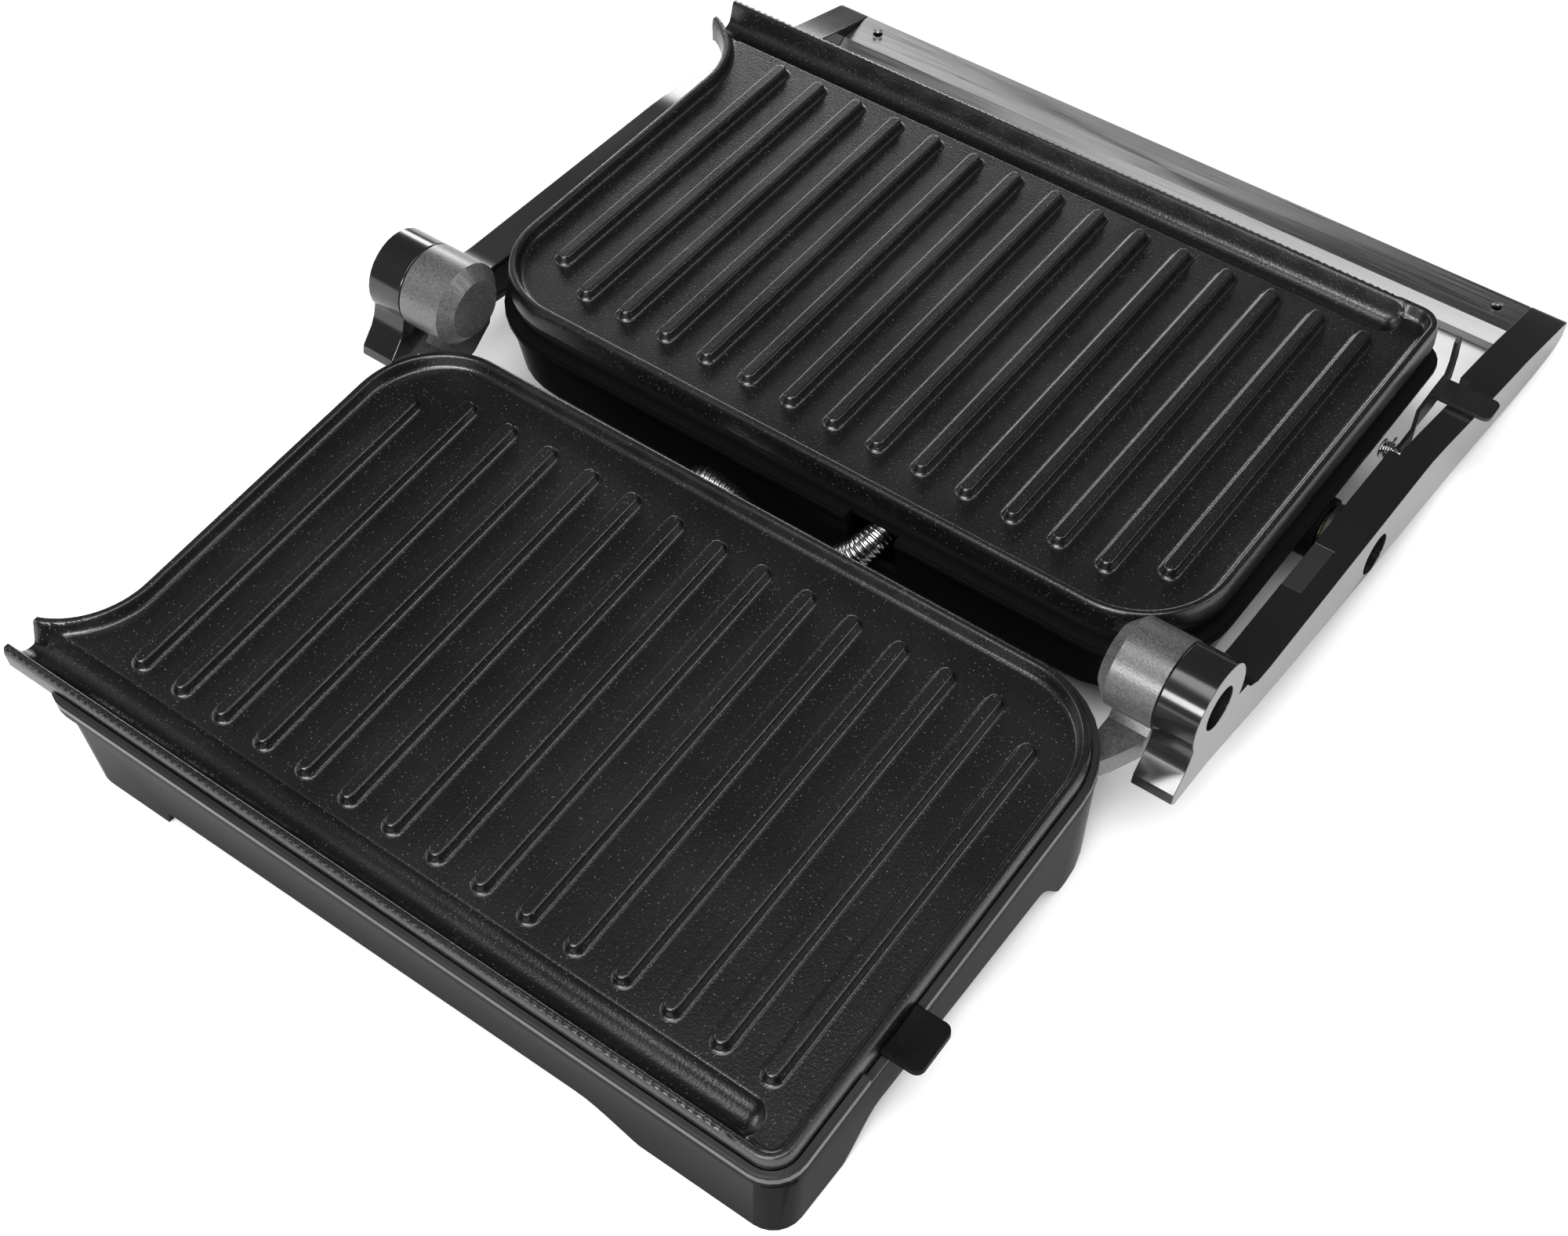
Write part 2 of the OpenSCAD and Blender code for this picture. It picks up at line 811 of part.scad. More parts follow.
module handle_grip() {
    color([0.06, 0.06, 0.065])
        difference() {
            union() {
                bar_x(grip_profile, -arm_x0 + 0.3, arm_x0 - 0.3);
                both_sides()
                    block([arm_x0 - 1, arm_x0 + 7.6], [355, 373], [3, 6.8]);
            }
            for (s = [-1, 1])
                translate([s * screw_x, 367.5, 3])
                    cylinder(r = 2, h = 8);
        }
}

module handle_screws() {
    color([0.75, 0.75, 0.76])
        for (s = [-1, 1])
            translate([s * screw_x, 367.5, handle_z])
                pan_screw(3.6, 2, 1.95, 6);
}

// ---------- lock lever ----------

module lever_pin() {
    color([0.75, 0.75, 0.76]) {
        rod_x(lever_x - 6.6, lever_x + 8, 1.9, lever_y, lever_z);
        rod_x(lever_x - 7.4, lever_x - 6.6 + eps, 3.6, lever_y, lever_z);
    }
}

// Torsion spring on the lever's pin, between its head and the lever
module lever_spring() {
    coil = 2.9;
    turns = 3;
    steps = 16;
    route = concat(
        [[lever_x - 5.9, lever_y + 9, lever_z - coil + 1]],
        [for (i = [0:turns * steps]) let (a = -90 + 360 * i / steps)
            [lever_x - 5.9 + 2.6 * i / (turns * steps), lever_y + coil * cos(a), lever_z + coil * sin(a)]],
        [[lever_x - 3.3, lever_y - 3, lever_z - coil]]);
    color([0.7, 0.7, 0.7])
        sweep(route, 0.4, 8, [1, 0, 0]);
}

module lock_lever() {
    profile = concat(
        arc(lever_y, lever_z, 4, 60, 300, 10),
        [[290, 23.6], [301.5, 24.4], [305, 28], [305.6, 38], [304.4, 48], [302.6, 50], [300.8, 48],
         [301.2, 38], [299.6, 33.2], [292, 33.2], [275, 32]]);
    x = lever_x - lever_t - 1;
    jog = 2.4;
    plan = [[x, 250], [x + lever_t, 250], [x + lever_t, 270], [x + lever_t - jog, 279],
            [x + lever_t - jog, 310], [x - jog, 310], [x - jog, 278.6], [x, 269.6]];
    color([0.07, 0.07, 0.07])
        difference() {
            union() {
                intersection() {
                    bar_x(profile, lever_x - 10, lever_x + 10);
                    prism(plan, -10, 80);
                }
                // Finger tab, bent outwards over the arm
                prism(concat([[x - jog + 0.1, 287.5]], arc(170.8, 290.2, 2.7, -90, 0, 5),
                             arc(170.8, 295.3, 2.7, 0, 90, 5), [[x - jog + 0.1, 298]]), 31.9, 33.4);
            }
            rod_x(lever_x - 6, lever_x + 2, 1.9 + pin_gap, lever_y, lever_z);
        }
}

// ---------- lid ----------

// Cut in the lid cover's hinge side where the conduit goes in
module conduit_notch() {
    block(notch_x, [lid_y - plate_hd - 6, lid_y - plate_hd + 16], [notch_z, lid_z + ledge_w + 1]);
}

module lid_frame() {
    ear_x = [127, 131];
    color([0.05, 0.05, 0.055])
        difference() {
            union() {
                on_lid() {
                    difference() {
                        prism(slab(-plate_hw + 0.4, plate_hw - 0.4, -plate_hd + 0.4, plate_hd - 0.4,
                                   corner_front, corner_back), skirt_w - 3, skirt_w);
                        opening_cut();
                    }
                    difference() {
                        prism(lip_outline(-3), ledge_w, skirt_w - 3 + eps);
                        prism(lip_outline(-5.5), ledge_w - 1, skirt_w + 1);
                    }
                    difference() {
                        union() {
                            prism(lip_outline(lip_out - 0.8), ledge_w, ledge_w + 0.8);
                            prism(lip_outline(lip_out), ledge_w - ring_t, ledge_w + eps);
                        }
                        prism(lip_outline(-5.5), ledge_w - 3, ledge_w + 3);
                    }
                    // Screw columns, each on a web to the ledge
                    for (p = lid_screw_at) {
                        translate([p[0], p[1], cover_w + 2.5])
                            cylinder(r = 4.5, h = 24);
                        block(p[0] < 0 ? [-plate_hw + 4, p[0]] : [p[0], plate_hw - 4],
                              [p[1] - 1.5, p[1] + 1.5], [ledge_w - 9, ledge_w - 0.5]);
                    }
                }
                both_sides()
                    block(ear_x, [pivot_y - 14, pivot_y + 14], [pivot_z - 9, lid_z + ledge_w - 1.2]);
                both_sides()
                    block([ear_x[0], 141.8], [pivot_y - 14, pivot_y + 14],
                          [lid_z + ledge_w - 3.2, lid_z + ledge_w - 1.2]);
            }
            block(notch_x, [lid_y - plate_hd - 6, lid_y - plate_hd + 2],
                  [lid_z + ledge_w - 3, lid_z + skirt_w - 3]);
            for (x = [-140, 120])
                rod_x(x, x + 20, bush_r + 0.02, pivot_y, pivot_z);
            on_lid() {
                rod_x(spout_x - 10, -plate_hw + 24, channel_r + wall + gap, channel_v, channel_w - 1);
                for (p = lid_screw_at)
                    translate([p[0], p[1], cover_w])
                        cylinder(r = 2.02, h = 13);
            }
        }
}

bush_r = 6.5;

// Outer form of the lid: straight band under the ledge, then drawn in to the back
module lid_form(d) {
    top = ledge_w - ring_t + (d > 0 ? 1 : 0);
    hull() {
        prism(lip_outline(1.2 - d), ledge_w - 4, top);
        prism(slab(-plate_hw + 3 + d, plate_hw - 3 - d, -plate_hd + 2 + d, plate_hd + 0.6 - d, 12, 34),
              -38, -37);
        prism(slab(-plate_hw + 10 + d, plate_hw - 10 - d, -plate_hd + 8 + d, plate_hd - 5 - d, 14, 32),
              cover_w + d, cover_w + d + 0.1);
    }
}

module lid_cover() {
    color([0.05, 0.05, 0.055])
        difference() {
            union() {
                on_lid()
                    difference() {
                        lid_form(0);
                        lid_form(2.5);
                        prism(panel_outline(0.2), cover_w - 1, cover_w + 1);
                        for (p = lamp_at)
                            translate([p[0], p[1], cover_w - 1])
                                cylinder(r = 3.55, h = 6);
                    }
                both_sides()
                    rod_x(135, 149, bush_r + 5, pivot_y, pivot_z);
            }
            conduit_notch();
            sweep(conduit_route, conduit_d / 2 + 0.5);
            both_sides()
                rod_x(120, 150, bush_r + 2.3, pivot_y, pivot_z);
            on_lid()
                for (p = lid_screw_at)
                    translate([p[0], p[1], cover_w - 1])
                        cylinder(r = 2.02, h = 6);
        }
}

function panel_outline(d) =
    slab(-plate_hw + 26 - d, plate_hw - 26 + d, -plate_hd + 34 - d, plate_hd - 24 + d, 10 + d, 22 + d);

// Brushed steel trim panel on the lid's back
module lid_panel() {
    color([0.66, 0.66, 0.67])
        on_lid()
            prism(panel_outline(0), cover_w, cover_w + 1);
}

lamp_at = [[-14, -70], [14, -70]];
lid_screw_at = [[-128, -60], [128, -60], [-128, 34], [128, 34]];

module lamp(p) {
    on_lid()
        translate([p[0], p[1], cover_w]) {
            cylinder(r = 3.5, h = 3);
            translate([0, 0, 3 - eps])
                cylinder(r = 4.6, h = 1.5);
        }
}

module power_lamp() {
    color([0.75, 0.1, 0.06])
        lamp(lamp_at[0]);
}

module ready_lamp() {
    color([0.1, 0.6, 0.2])
        lamp(lamp_at[1]);
}

module lid_screws() {
    color([0.6, 0.6, 0.62])
        on_lid()
            for (p = lid_screw_at)
                translate([p[0], p[1], cover_w])
                    rotate([180, 0, 0])
                        pan_screw(3.6, 2, 2, 12);
}

// Flanged bush in the lid's side that carries the pivot pin
module pivot_bush() {
    difference() {
        union() {
            rod_x(127, 149, bush_r, pivot_y, pivot_z);
            rod_x(131, 134, bush_r + 2, pivot_y, pivot_z);
        }
        rod_x(126, 150, pivot_r + pin_gap, pivot_y, pivot_z);
    }
}

module pivot_bush_right() {
    color([0.5, 0.46, 0.36])
        pivot_bush();
}

module pivot_bush_left() {
    color([0.5, 0.46, 0.36])
        mirror([1, 0, 0])
            pivot_bush();
}

module lid_conduit_gland() {
    color([0.06, 0.06, 0.06])
        difference() {
            block([notch_x[0] + 0.5, notch_x[1] - 0.5], [129, 133], [notch_z + 0.5, 38.2]);
            translate([conduit_route[15][0], 150, conduit_route[15][2]])
                rotate([90, 0, 0])
                    cylinder(r = conduit_d / 2 + 0.1, h = 40);
        }
}

// ---------- conduit ----------

// Tube of n sides swept along points
function unit(v) = v / norm(v);
function tangent(p, i) = unit(p[min(i + 1, len(p) - 1)] - p[max(i - 1, 0)]);

module sweep(points, r, n = 12, flat = [0, 0, 1]) {
    rings = [for (i = [0:len(points) - 1])
        let (t = tangent(points, i), side = unit(cross(flat, t)), up = cross(t, side))
        [for (k = [0:n - 1]) points[i] + r * (cos(360 * k / n) * side + sin(360 * k / n) * up)]];
    last = len(points) - 1;
    vertices = [for (ring = rings) for (v = ring) v];
    sides = [for (i = [0:last - 1]) for (k = [0:n - 1])
        let (a = i * n + k, b = i * n + (k + 1) % n) [a, a + n, b + n, b]];
    polyhedron(vertices, concat(sides, [[for (k = [0:n - 1]) k]],
                                [[for (k = [n - 1:-1:0]) last * n + k]]));
}

module spiral_conduit() {
    color([0.75, 0.74, 0.76])
        sweep(conduit_route, conduit_d / 2);
}

// The modules draw from the middle of the base. The origin is under the middle of the opened press.
translate([0, -press_middle, 0]) {
    base_housing();
    base_lip();
    base_floor();
    base_plate();
    base_heater();
    base_reflector();
    base_thermostat();
    thermal_fuse();
    terminal_block();
    cord_gland();
    rubber_feet();
    floor_screws();
    hinge_bracket_right();
    hinge_bracket_left();
    hinge_pin_right();
    hinge_pin_left();
    bracket_screws();
    base_conduit_gland();
    spiral_conduit();
    release_slider();
    arm_right();
    arm_left();
    arm_cover_right();
    arm_cover_left();
    arm_screws();
    pivot_pin_right();
    pivot_pin_left();
    handle_bar();
    handle_grip();
    handle_screws();
    lever_pin();
    lever_spring();
    blank_label();
    lock_lever();
    lid_frame();
    lid_cover();
    lid_panel();
    lid_plate();
    lid_heater();
    lid_reflector();
    lid_thermostat();
    pivot_bush_right();
    pivot_bush_left();
    power_lamp();
    ready_lamp();
    lid_screws();
    lid_conduit_gland();
}
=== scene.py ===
# %% [markdown]
# # A flat-opening panini press
#
# The press stands opened flat: a heated base in front, the heated lid behind it, and a yoke of
# two arms with a steel handle that carries the lid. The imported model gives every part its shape,
# size and place. This lesson dresses it: it rounds the moulded and cast edges, builds the coated
# grill plates anew with their fillets, winds the spiral conduit, and gives each surface a finish.

# %% Load the frame
import json
import math

import bmesh
import bpy
import numpy as np
from mathutils import Matrix, Vector
from mathutils.geometry import delaunay_2d_cdt


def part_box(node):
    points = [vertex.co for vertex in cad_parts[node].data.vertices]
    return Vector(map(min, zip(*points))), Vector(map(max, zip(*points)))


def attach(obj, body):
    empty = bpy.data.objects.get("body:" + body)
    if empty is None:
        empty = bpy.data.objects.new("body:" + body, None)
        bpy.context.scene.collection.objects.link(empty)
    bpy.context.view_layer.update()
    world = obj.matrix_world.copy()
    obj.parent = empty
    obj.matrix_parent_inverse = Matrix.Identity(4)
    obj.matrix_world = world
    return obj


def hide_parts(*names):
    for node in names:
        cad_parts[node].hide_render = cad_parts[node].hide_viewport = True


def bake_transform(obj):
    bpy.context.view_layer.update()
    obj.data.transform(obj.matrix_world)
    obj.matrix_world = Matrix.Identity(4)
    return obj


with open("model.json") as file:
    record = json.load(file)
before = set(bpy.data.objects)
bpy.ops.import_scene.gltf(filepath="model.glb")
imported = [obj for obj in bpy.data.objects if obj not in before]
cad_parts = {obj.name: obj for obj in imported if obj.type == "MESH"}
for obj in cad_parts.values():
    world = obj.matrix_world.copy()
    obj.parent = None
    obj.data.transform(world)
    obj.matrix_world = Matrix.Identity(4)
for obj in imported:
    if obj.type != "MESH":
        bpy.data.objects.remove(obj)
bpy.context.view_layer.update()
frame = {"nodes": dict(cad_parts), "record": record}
nodes = frame["nodes"]
record = frame["record"]
body_of_node = {n: body for body, names in record["behaviour"]["bodies"].items() for n in names}
slot_of_node = {s["node"]: s["material_slot"] for s in record["subparts"]}
joints = {j["name"]: j for j in record["behaviour"]["joints"]}
MM = 0.001

# %% [markdown]
# ## Studio: camera, floor and light
#
# A studio view needs a long lens, a plain pale floor and large soft lights. The glossy black
# plastic shows nothing but what it reflects, so the lights are big rectangles. A broad one hangs
# overhead. A low one in front draws the bright bands on the knuckles, the arms' ends and the
# plates' rounded edges. A narrow one behind lights the handle, and two weak ones fill the sides.
# The surroundings stay dim: a bright world would veil every black surface in grey.

# %% Camera
CAMERA_PLACE = Vector((0.331, -0.4678, 0.6454))
CAMERA_TURN = math.radians(36.516)
CAMERA_RISE = math.radians(49.748)
CAMERA_ROLL = math.radians(-1.2)
CAMERA_LENS_MM = 55.43

camera_data = bpy.data.cameras.new("camera")
camera_data.lens = CAMERA_LENS_MM
camera_data.sensor_width = 36.0
camera_data.clip_end = 20.0
camera = bpy.data.objects.new("camera", camera_data)
aim = (Matrix.Rotation(CAMERA_ROLL, 4, "X") @ Matrix.Rotation(CAMERA_TURN, 4, "Z")
       @ Matrix.Rotation(math.pi / 2 - CAMERA_RISE, 4, "X"))
camera.matrix_world = Matrix.Translation(CAMERA_PLACE) @ aim
bpy.context.scene.collection.objects.link(camera)
bpy.context.scene.camera = camera
print("camera", [round(v, 3) for v in CAMERA_PLACE], "lens", CAMERA_LENS_MM, "mm")

# %% Floor and world
def link(name, mesh):
    obj = bpy.data.objects.new(name, mesh)
    bpy.context.scene.collection.objects.link(obj)
    return obj


FLOOR_HALF = 6.0
WORLD_STRENGTH = 0.09
floor_mesh = bpy.data.meshes.new("studio_floor")
floor_mesh.from_pydata([(-FLOOR_HALF, -FLOOR_HALF, 0), (FLOOR_HALF, -FLOOR_HALF, 0),
                        (FLOOR_HALF, FLOOR_HALF, 0), (-FLOOR_HALF, FLOOR_HALF, 0)],
                       [], [(0, 1, 2, 3)])
floor = link("studio_floor", floor_mesh)
floor_paint = bpy.data.materials.new("floor_paint")
floor_paint.use_nodes = True
floor_shader = floor_paint.node_tree.nodes["Principled BSDF"]
floor_shader.inputs["Base Color"].default_value = (0.94, 0.94, 0.94, 1)
floor_shader.inputs["Roughness"].default_value = 0.8
floor_mesh.materials.append(floor_paint)

world = bpy.data.worlds.new("studio")
world.use_nodes = True
world.node_tree.nodes["Background"].inputs["Color"].default_value = (1, 1, 1, 1)
world.node_tree.nodes["Background"].inputs["Strength"].default_value = WORLD_STRENGTH
bpy.context.scene.world = world
bpy.context.scene.view_settings.view_transform = "Standard"

# %% Soft lights
MIDDLE = Vector((0.0, 0.0, 0.03))


def soft_light(name, place, size, watts):
    data = bpy.data.lights.new(name, "AREA")
    data.shape = "RECTANGLE"
    data.size = size[0]
    data.size_y = size[1]
    data.energy = watts
    lamp = bpy.data.objects.new(name, data)
    lamp.location = place
    lamp.rotation_euler = (MIDDLE - Vector(place)).to_track_quat("-Z", "Y").to_euler()
    bpy.context.scene.collection.objects.link(lamp)


soft_light("key_light", (0.35, -0.65, 2.0), (1.6, 1.6), 42)
soft_light("front_light", (0.3, -1.7, 0.9), (1.4, 0.5), 46)
soft_light("edge_light", (-1.15, 1.4, 0.6), (1.3, 0.4), 18)
soft_light("left_light", (-1.6, -0.4, 0.8), (1.0, 0.6), 9)
soft_light("right_light", (1.6, 0.6, 0.9), (1.0, 0.5), 9)
print("lights:", len(bpy.data.lights), "world strength", WORLD_STRENGTH)

# %% [markdown]
# ## Finishes
#
# Each finish is a small node tree on Object coordinates, so its grain stays at true size on every
# piece. A helper starts each material, and one function adds what every moulded, cast or coated
# surface has: a slight change of tone, a roughness that wanders, and a fine bump. Numbers that
# are the same all over, such as a clear coat, go straight on the shader's sockets.

# %% Material helpers
def new_finish(name):
    material = bpy.data.materials.new(name)
    material.use_nodes = True
    tree = material.node_tree
    return material, tree, tree.nodes["Principled BSDF"]


def object_coordinates(tree, stretch=(1, 1, 1)):
    coordinates = tree.nodes.new("ShaderNodeTexCoord")
    mapping = tree.nodes.new("ShaderNodeMapping")
    mapping.inputs["Scale"].default_value = stretch
    tree.links.new(coordinates.outputs["Object"], mapping.inputs["Vector"])
    return mapping.outputs["Vector"]


def noise(tree, vector, grain_mm, detail=3.0):
    node = tree.nodes.new("ShaderNodeTexNoise")
    node.inputs["Scale"].default_value = 1000.0 / grain_mm
    node.inputs["Detail"].default_value = detail
    tree.links.new(vector, node.inputs["Vector"])
    return node.outputs["Fac"]


def ramp(tree, value, low, high, low_at=0.3, high_at=0.7):
    node = tree.nodes.new("ShaderNodeMapRange")
    node.inputs["From Min"].default_value = low_at
    node.inputs["From Max"].default_value = high_at
    node.inputs["To Min"].default_value = low
    node.inputs["To Max"].default_value = high
    tree.links.new(value, node.inputs["Value"])
    return node.outputs["Result"]


def tones(tree, value, dark, light, dark_at=0.3, light_at=0.7):
    node = tree.nodes.new("ShaderNodeValToRGB")
    node.color_ramp.elements[0].position = dark_at
    node.color_ramp.elements[0].color = (*dark, 1)
    node.color_ramp.elements[1].position = light_at
    node.color_ramp.elements[1].color = (*light, 1)
    tree.links.new(value, node.inputs["Fac"])
    return node.outputs["Color"]


def add_bump(tree, shader, height, depth_mm, strength=1.0):
    node = tree.nodes.new("ShaderNodeBump")
    node.inputs["Strength"].default_value = strength
    node.inputs["Distance"].default_value = depth_mm * MM
    tree.links.new(height, node.inputs["Height"])
    tree.links.new(node.outputs["Normal"], shader.inputs["Normal"])


print("material helpers ready")

# %% Grained finishes: moulded plastic, cast metal, rubber, paint
def grained(name, dark, light, rough, grain_mm, depth_mm, metallic=0.0, coat=0.0, gloss=0.5):
    material, tree, shader = new_finish(name)
    vector = object_coordinates(tree)
    cloud = noise(tree, vector, 60.0, 2.0)
    grain = noise(tree, vector, grain_mm, 4.0)
    mixed = tree.nodes.new("ShaderNodeMath")
    mixed.operation = "MULTIPLY_ADD"
    mixed.inputs[1].default_value = 0.35
    tree.links.new(cloud, mixed.inputs[0])
    halved = ramp(tree, grain, 0.12, 0.53, 0.25, 0.75)
    tree.links.new(halved, mixed.inputs[2])
    tree.links.new(tones(tree, mixed.outputs["Value"], dark, light), shader.inputs["Base Color"])
    tree.links.new(ramp(tree, cloud, rough * 0.85, rough * 1.15), shader.inputs["Roughness"])
    shader.inputs["Metallic"].default_value = metallic
    shader.inputs["Coat Weight"].default_value = coat
    shader.inputs["Coat Roughness"].default_value = 0.08
    shader.inputs["Specular IOR Level"].default_value = gloss
    add_bump(tree, shader, grain, depth_mm)
    return material


# %% Coated plates
def coated(name, ground, fleck, rough):
    material, tree, shader = new_finish(name)
    vector = object_coordinates(tree)
    fine = noise(tree, vector, 0.9, 6.0)
    broad = noise(tree, vector, 45.0, 2.0)
    dots = tree.nodes.new("ShaderNodeTexVoronoi")
    dots.inputs["Scale"].default_value = 1000.0 / 1.1
    tree.links.new(vector, dots.inputs["Vector"])
    flecks = ramp(tree, dots.outputs["Distance"], 1.0, 0.0, 0.08, 0.26)
    mask = tree.nodes.new("ShaderNodeMath")
    mask.operation = "MULTIPLY"
    tree.links.new(flecks, mask.inputs[0])
    tree.links.new(ramp(tree, fine, 0.0, 1.0, 0.5, 0.62), mask.inputs[1])
    tree.links.new(tones(tree, mask.outputs["Value"], ground, fleck, 0.0, 1.0),
                   shader.inputs["Base Color"])
    tree.links.new(ramp(tree, broad, rough * 0.9, rough * 1.12), shader.inputs["Roughness"])
    shader.inputs["Specular IOR Level"].default_value = 0.7
    add_bump(tree, shader, fine, 0.09)
    return material


# %% Brushed, turned and sprung metal
def brushed(name, dark, light, rough, along=(0.012, 1, 1), grain_mm=0.45, depth_mm=0.006):
    material, tree, shader = new_finish(name)
    lines = noise(tree, object_coordinates(tree, along), grain_mm, 5.0)
    tree.links.new(tones(tree, lines, dark, light, 0.25, 0.75), shader.inputs["Base Color"])
    tree.links.new(ramp(tree, lines, rough * 0.8, rough * 1.25), shader.inputs["Roughness"])
    shader.inputs["Metallic"].default_value = 1.0
    shader.inputs["Anisotropic"].default_value = 0.5
    add_bump(tree, shader, lines, depth_mm)
    return material


def grey(value, warmth=0.0):
    return (value * (1 + warmth), value, value * (1 - warmth))


finishes = {
    "housing_black": grained("gloss_black_plastic", grey(0.004), grey(0.008), 0.2, 0.5, 0.004,
                             gloss=0.006),
    "lip_satin": grained("satin_black_lip", grey(0.01), grey(0.018), 0.36, 0.4, 0.012, gloss=0.4),
    "plate_coating": coated("speckled_coating", grey(0.002), grey(0.13), 0.3),
    "knuckle_cast": grained("cast_grey_metal", grey(0.02), grey(0.09), 0.33, 0.8, 0.05, gloss=1.0),
    "arm_black": grained("gloss_black_arm", grey(0.006), grey(0.011), 0.16, 0.5, 0.004, gloss=0.6),
    "handle_steel": brushed("brushed_handle_steel", grey(0.2), grey(0.34), 0.34),
    "grip_black": grained("satin_black_grip", grey(0.009), grey(0.017), 0.4, 0.5, 0.015, gloss=0.35),
    "lever_black": grained("black_lever_paint", grey(0.007), grey(0.014), 0.3, 0.6, 0.01, gloss=0.4),
    "label_black": grained("matte_black_label", grey(0.011), grey(0.019), 0.5, 0.4, 0.012),
    "screw_steel": brushed("plated_screw_steel", grey(0.55), grey(0.75), 0.38, (1, 1, 1), 0.6),
    "pin_steel": brushed("ground_pin_steel", grey(0.5), grey(0.7), 0.22, (1, 0.05, 0.05), 0.3),
    "conduit_metal": brushed("wound_conduit_metal", grey(0.45), grey(0.72), 0.22, (1, 1, 1), 0.7),
    "sheet_metal": brushed("pressed_aluminium", grey(0.5), grey(0.66), 0.34, (0.05, 1, 1), 0.8),
    "element_steel": brushed("heat_tinted_element", grey(0.16, 0.12), grey(0.3, 0.06), 0.4,
                             (1, 1, 1), 2.0),
    "floor_metal": grained("black_floor_paint", grey(0.02), grey(0.035), 0.5, 0.7, 0.03),
    "rubber": grained("foot_rubber", grey(0.018), grey(0.03), 0.75, 0.35, 0.03),
    "gland_nylon": grained("gland_nylon", grey(0.015), grey(0.028), 0.45, 0.5, 0.015),
    "ceramic": grained("glazed_ceramic", grey(0.6, 0.05), grey(0.72, 0.05), 0.3, 1.2, 0.02, coat=0.3),
    "bush_brass": brushed("turned_brass", (0.5, 0.36, 0.16), (0.68, 0.52, 0.26), 0.28, (1, 0.1, 0.1)),
    "spring_steel": brushed("drawn_spring_wire", grey(0.4), grey(0.62), 0.25, (1, 1, 1), 0.5),
    "panel_steel": brushed("brushed_panel_steel", grey(0.42), grey(0.62), 0.32),
    "lamp_red": grained("red_lamp_lens", (0.4, 0.02, 0.01), (0.55, 0.04, 0.02), 0.1, 0.9, 0.005,
                        coat=0.6),
    "lamp_green": grained("green_lamp_lens", (0.03, 0.3, 0.06), (0.05, 0.42, 0.1), 0.1, 0.9, 0.005,
                          coat=0.6),
}
print("finishes:", len(finishes))

# %% [markdown]
# ## Rounded copies of the moulded and cast parts
#
# A real moulding has no knife edges: every edge carries a small radius that catches the light. The
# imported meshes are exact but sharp, so each part gets a copy whose doubles are merged and whose
# flat faces are joined, and a live bevel rounds the edges of the copy. The sharp original is
# hidden behind it. Each part has its own radius: wide on the arms, fine on the thin sheets.

# %% A copy with rounded edges
def merged_copy(node):
    mesh = nodes[node].data.copy()
    shape = bmesh.new()
    shape.from_mesh(mesh)
    bmesh.ops.remove_doubles(shape, verts=shape.verts, dist=0.004 * MM)
    bmesh.ops.dissolve_limit(shape, angle_limit=math.radians(1.2), verts=shape.verts, edges=shape.edges,
                             delimit={"NORMAL"})
    shape.to_mesh(mesh)
    shape.free()
    return mesh


def dress(obj, node, body=None):
    slot = slot_of_node[node]
    obj.data.materials.clear()
    obj.data.materials.append(finishes[slot])
    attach(obj, body or body_of_node[node])


def rounded(node, radius_mm, segments=2, sharper_than=28.0):
    mesh = merged_copy(node)
    obj = link(node + "_rounded", mesh)
    mesh.shade_smooth()
    mesh.set_sharp_from_angle(angle=math.radians(sharper_than))
    bevel = obj.modifiers.new("edges", "BEVEL")
    bevel.width = radius_mm * MM
    bevel.segments = segments
    bevel.limit_method = "ANGLE"
    bevel.angle_limit = math.radians(sharper_than)
    bevel.use_clamp_overlap = True
    bevel.harden_normals = True
    dress(obj, node)
    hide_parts(node)
    return obj


edge_radius = {
    "base_housing": 0.8, "base_lip": 0.5, "release_slider": 0.6, "hinge_bracket_right": 1.1,
    "hinge_bracket_left": 1.1, "arm_right": 1.3, "arm_left": 1.3, "arm_cover_right": 0.4,
    "arm_cover_left": 0.4, "handle_bar": 0.45, "handle_grip": 0.6, "lock_lever": 0.3,
    "blank_label": 0.3, "lid_frame": 0.5, "lid_cover": 0.7, "lid_panel": 0.25, "rubber_feet": 0.5,
    "base_floor": 0.4, "cord_gland": 0.5, "pivot_pin_right": 0.4, "pivot_pin_left": 0.4,
    "base_conduit_gland": 0.5, "power_lamp": 0.5, "ready_lamp": 0.5, "lever_pin": 0.3,
    "terminal_block": 0.4, "lid_conduit_gland": 0.3,
}
dressed = {node: rounded(node, radius) for node, radius in edge_radius.items()}
print("rounded parts:", len(dressed))

# %% [markdown]
# ## Grill plates
#
# Each plate is a die-cast slab: a raised rim, a row of round-topped ridges, and a drip channel that
# runs out of the rim as an open spout. Everything blends with soft fillets, which a bevel can't
# give where so many forms meet. The top is instead a height over the plate's outline, made of
# smooth minimums and maximums of four simple forms. Points are laid only where the height bends:
# rings inside the outline, rings round each ridge and lines along the channel.

